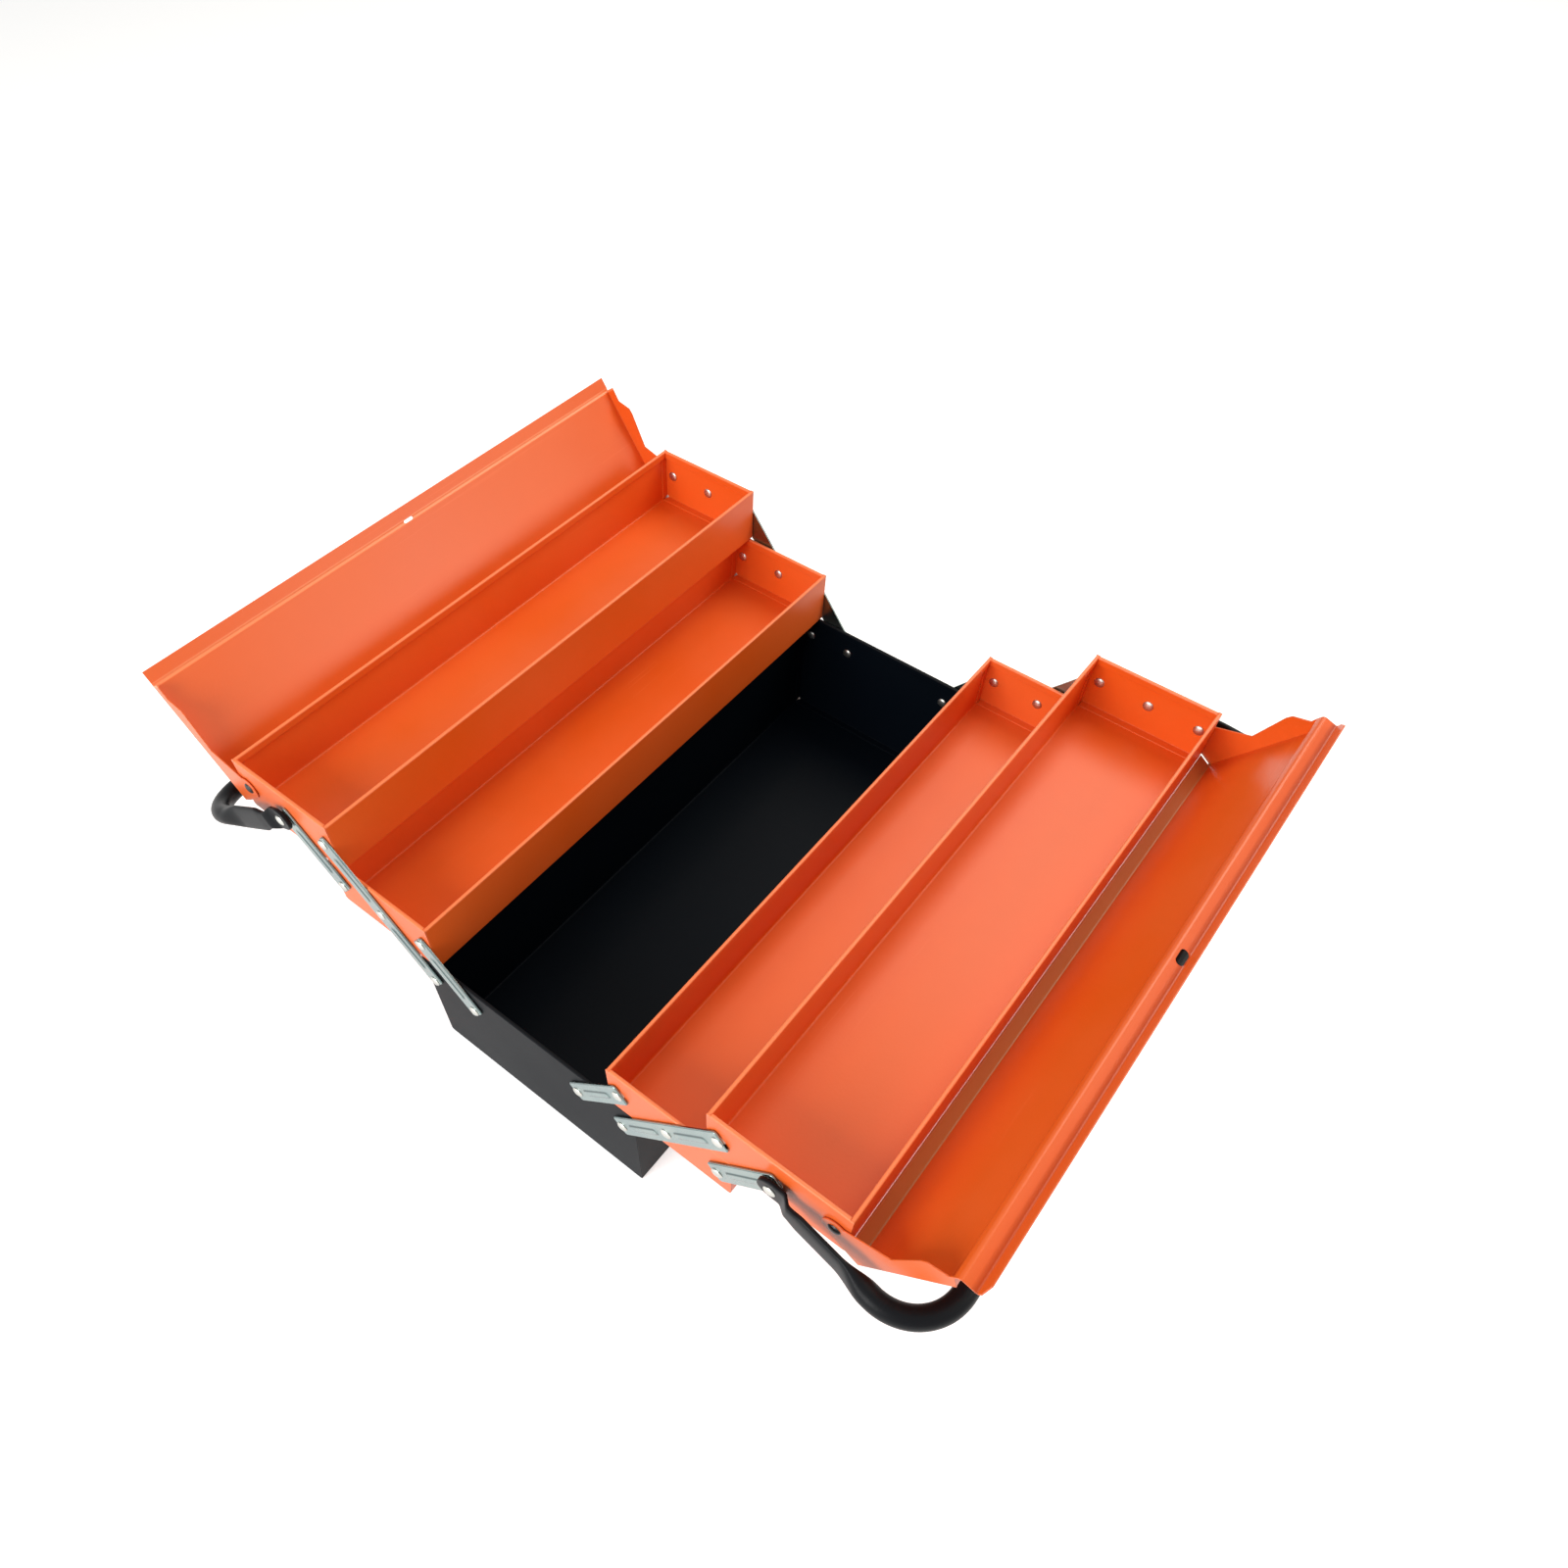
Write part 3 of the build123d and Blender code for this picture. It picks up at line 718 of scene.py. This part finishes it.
def slanted_end(v):
    """Reach of the end with round corners: the line, and x = xc + sqrt(R^2 - (v - vc)^2) beyond
    the points where the two circles of radius R touch it."""
    slope = np.arctan2(LINK_SLANT, 2 * LINK_HALF)
    reach = slanted_line(v)
    for corner in (1, -1):
        middle = corner * (LINK_HALF - LINK_CORNER)
        centre = slanted_line(middle) - LINK_CORNER / np.cos(slope)
        circle = centre + np.sqrt(np.clip(LINK_CORNER**2 - (v - middle)**2, 0, None))
        beyond = corner * (v - middle + LINK_CORNER * np.sin(slope)) > 0
        reach = np.where(beyond, circle, reach)
    return reach


def link_grid(stages):
    """Rings across the strip: u runs from the slanted start to the slanted end, v across it."""
    length = stages * LINK_LENGTH
    v = clustered(-LINK_HALF, LINK_HALF, 0.7)
    share = clustered(0, length + 2 * LINK_END - LINK_SLANT, 1.1)
    share = (share / share[-1])[:, None]
    start = -slanted_end(-v)
    end = length + slanted_end(v)
    u = start + (end - start) * share
    across = np.broadcast_to(v, u.shape)
    edge = np.minimum(np.minimum(u - start, end - u), LINK_HALF - np.abs(across))
    top = link_height(u, across, edge, stages)
    low_row = np.stack([u, np.zeros_like(u), across], -1)
    high_row = np.stack([u, top, across], -1)[:, ::-1]
    return np.concatenate([low_row, high_row], 1)


def placed_link(grid, start, side, end):
    """Turn a link about its first pivot by the link angle, and stand it on its layer at one end."""
    u, lift, v = grid[..., 0], grid[..., 1], grid[..., 2]
    x = start[0] + u * cos(LINK_ANGLE) - v * sin(LINK_ANGLE)
    z = start[1] + u * sin(LINK_ANGLE) + v * cos(LINK_ANGLE)
    return np.stack([side * x, end * (LINK_FACE + lift), z], -1)


# %% The twelve links
LINKS = {"short": (PIVOTS["base"][0], 1), "long": (PIVOTS["base"][1], 2),
         "third": (PIVOTS["lower"][2], 1)}
for side_name, side in SIDES.items():
    for kind, (start, stages) in LINKS.items():
        for end_name, end in (("far", 1), ("near", -1)):
            grid = placed_link(link_grid(stages), start, side, end)
            piece = make_piece(f"link_{side_name}_{kind}_{end_name}", [(grid, 0)], [link_zinc],
                               f"{side_name}_{kind}_links", flat_strip=True)
            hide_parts(f"{side_name}_{kind}_link_{end_name}")

# %% [markdown]
# ## Washers under the handles
# The handle's eye shares a rivet with the third link. A plain washer fills the gap between them, so
# that the handle swings without rubbing the link's bead.

# %% Washers
WASHER = np.array([(2.6, 232.2), (4.7, 232.2), (4.9, 232.35), (4.9, 232.85), (4.7, 233.0),
                   (2.6, 233.0)])
for side_name, side in SIDES.items():
    rings = [turned(WASHER, PIVOTS["upper"][1], side, end) for end in (1, -1)]
    grids = [(np.swapaxes(ring, 0, 1), 0) for ring in rings]
    washers = make_piece(f"washers_{side_name}", grids, [rivet_zinc], f"{side_name}_upper_tray",
                         loop=True)

# %% [markdown]
# ## Bail handles
# Each handle is one bent steel tube. Its ends are pressed flat and pierced for the rivet, step
# outwards past the link and splay a little, and the round crossbar lies between two wide bends. A
# section that changes along a path gives all of this but the hole in one skin: flat, oval, then
# round.

# %% The path of half a handle, from the far eye to the middle of the crossbar
EYE_RADIUS, EYE_LENGTH, NECK_PLACE, NECK_OUT = 9.0, 8.0, 14.0, 9.0
ARM_SPLAY = radians(6.6)
HANDLE_REACH, BEND_RADIUS, TUBE_RADIUS = 112.0, 34.0, 7.0
TIP_ROUND, TIP_SHARE = 0.8, 0.3
EYE_MIDDLE = (EYE_FACE + EYE_OUTSIDE) / 2


def half_path():
    """Eye rim, straight arm, an arc of 90 degrees plus the splay, and half the crossbar."""
    turn = np.pi / 2 + ARM_SPLAY
    cut = BEND_RADIUS * tan(turn / 2)
    corner_y = HALF_LENGTH + NECK_OUT + (HANDLE_REACH - NECK_PLACE) * tan(ARM_SPLAY)
    bend_start = HANDLE_REACH - cut * cos(ARM_SPLAY)
    rim = -EYE_RADIUS * np.cos(np.radians(np.array([1, 6, 12, 20, 30, 42, 56, 72])))
    arm = np.concatenate([rim, np.arange(0, bend_start, 1.0)])
    arm_y = ease(arm, (EYE_LENGTH - 1, NECK_PLACE), (0, 1))
    line_y = HALF_LENGTH + NECK_OUT + (arm - NECK_PLACE) * tan(ARM_SPLAY)
    arm_points = np.stack([arm, EYE_MIDDLE + (line_y - EYE_MIDDLE) * arm_y], -1)
    angle = np.linspace(0, turn, 40)
    centre_s = bend_start + BEND_RADIUS * sin(ARM_SPLAY)
    centre_y = corner_y - cut * sin(ARM_SPLAY) - BEND_RADIUS * cos(ARM_SPLAY)
    heading = ARM_SPLAY - angle
    arc = np.stack([centre_s - BEND_RADIUS * np.sin(heading),
                    centre_y + BEND_RADIUS * np.cos(heading)], -1)
    bar_y = np.linspace(arc[-1, 1], 0, 40)[1:]
    bar = np.stack([np.full_like(bar_y, HANDLE_REACH), bar_y], -1)
    return np.concatenate([arm_points, arc, bar]), len(arm)


def half_section(path, arm_count):
    """Half thickness, half height and squareness of the section at each point of the path."""
    place = np.where(np.arange(len(path)) < arm_count, path[:, 0], HANDLE_REACH)
    knots = (0, EYE_LENGTH, NECK_PLACE, 24, 50, 72)
    thick = ease(place, knots, (1.6, 1.6, 1.9, 2.2, 2.2, TUBE_RADIUS))
    high = ease(place, knots, (EYE_RADIUS, EYE_RADIUS, 7.0, 9.7, 9.7, TUBE_RADIUS))
    square = ease(place, knots, (7, 6, 4, 3.2, 3.2, 2))
    from_tip = np.clip(place + EYE_RADIUS, 0, None)
    high = np.where(place < 0, np.sqrt(np.clip(EYE_RADIUS**2 - place**2, 0.01, None)), high)
    rounding = np.sqrt(1 - (1 - np.clip(from_tip / TIP_ROUND, 0, 1))**2)
    return thick * (TIP_SHARE + (1 - TIP_SHARE) * rounding), high, square


# %% A skin round the path
SECTION_POINTS = 40
BEND_BLEND = 60


def handle_grid():
    """Ring at each point: offset = N a c^(2/n) + B b s^(2/n), a superellipse across the path.

    The flat start of the arm keeps level rings, up to BEND_BLEND points before its end. The near
    half is the far half's mirror image, in the opposite order."""
    path, arm_count = half_path()
    thick, high, square = half_section(path, arm_count)
    tangent = np.gradient(path, axis=0)
    tangent /= np.linalg.norm(tangent, axis=1, keepdims=True)
    tangent[:arm_count - BEND_BLEND] = (1, 0)
    normal = np.stack([-tangent[:, 1], tangent[:, 0]], -1)
    angle = np.arange(SECTION_POINTS) * 2 * np.pi / SECTION_POINTS
    power = 2 / square[:, None]
    cosine, sine = np.cos(angle), np.sin(angle)
    out = thick[:, None] * np.sign(cosine) * np.abs(cosine)**power
    up = high[:, None] * np.sign(sine) * np.abs(sine)**power
    s = path[:, :1] + normal[:, :1] * out
    y = path[:, 1:] + normal[:, 1:] * out
    far = np.stack([s, y, up], -1)
    near = far[-2::-1] * (1, -1, 1)
    return np.concatenate([far, near])


def placed_handle(grid, slope, side):
    """Turn the handle about its rivet, from lying level to its slope."""
    s, y, up = grid[..., 0], grid[..., 1], grid[..., 2]
    centre = PIVOTS["upper"][1]
    x = centre[0] + s * cos(slope) - up * sin(slope)
    z = centre[1] + s * sin(slope) + up * cos(slope)
    return np.stack([side * x, y, z], -1)


# %% The two handles
HANDLE_SLOPES = {"right": radians(-6.6), "left": radians(-28.0)}
for side_name, side in SIDES.items():
    grid = placed_handle(handle_grid(), HANDLE_SLOPES[side_name], side)
    piece = make_piece(f"handle_{side_name}", [(grid, 0)], [handle_paint], f"{side_name}_bail")
    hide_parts(f"{side_name}_handle")
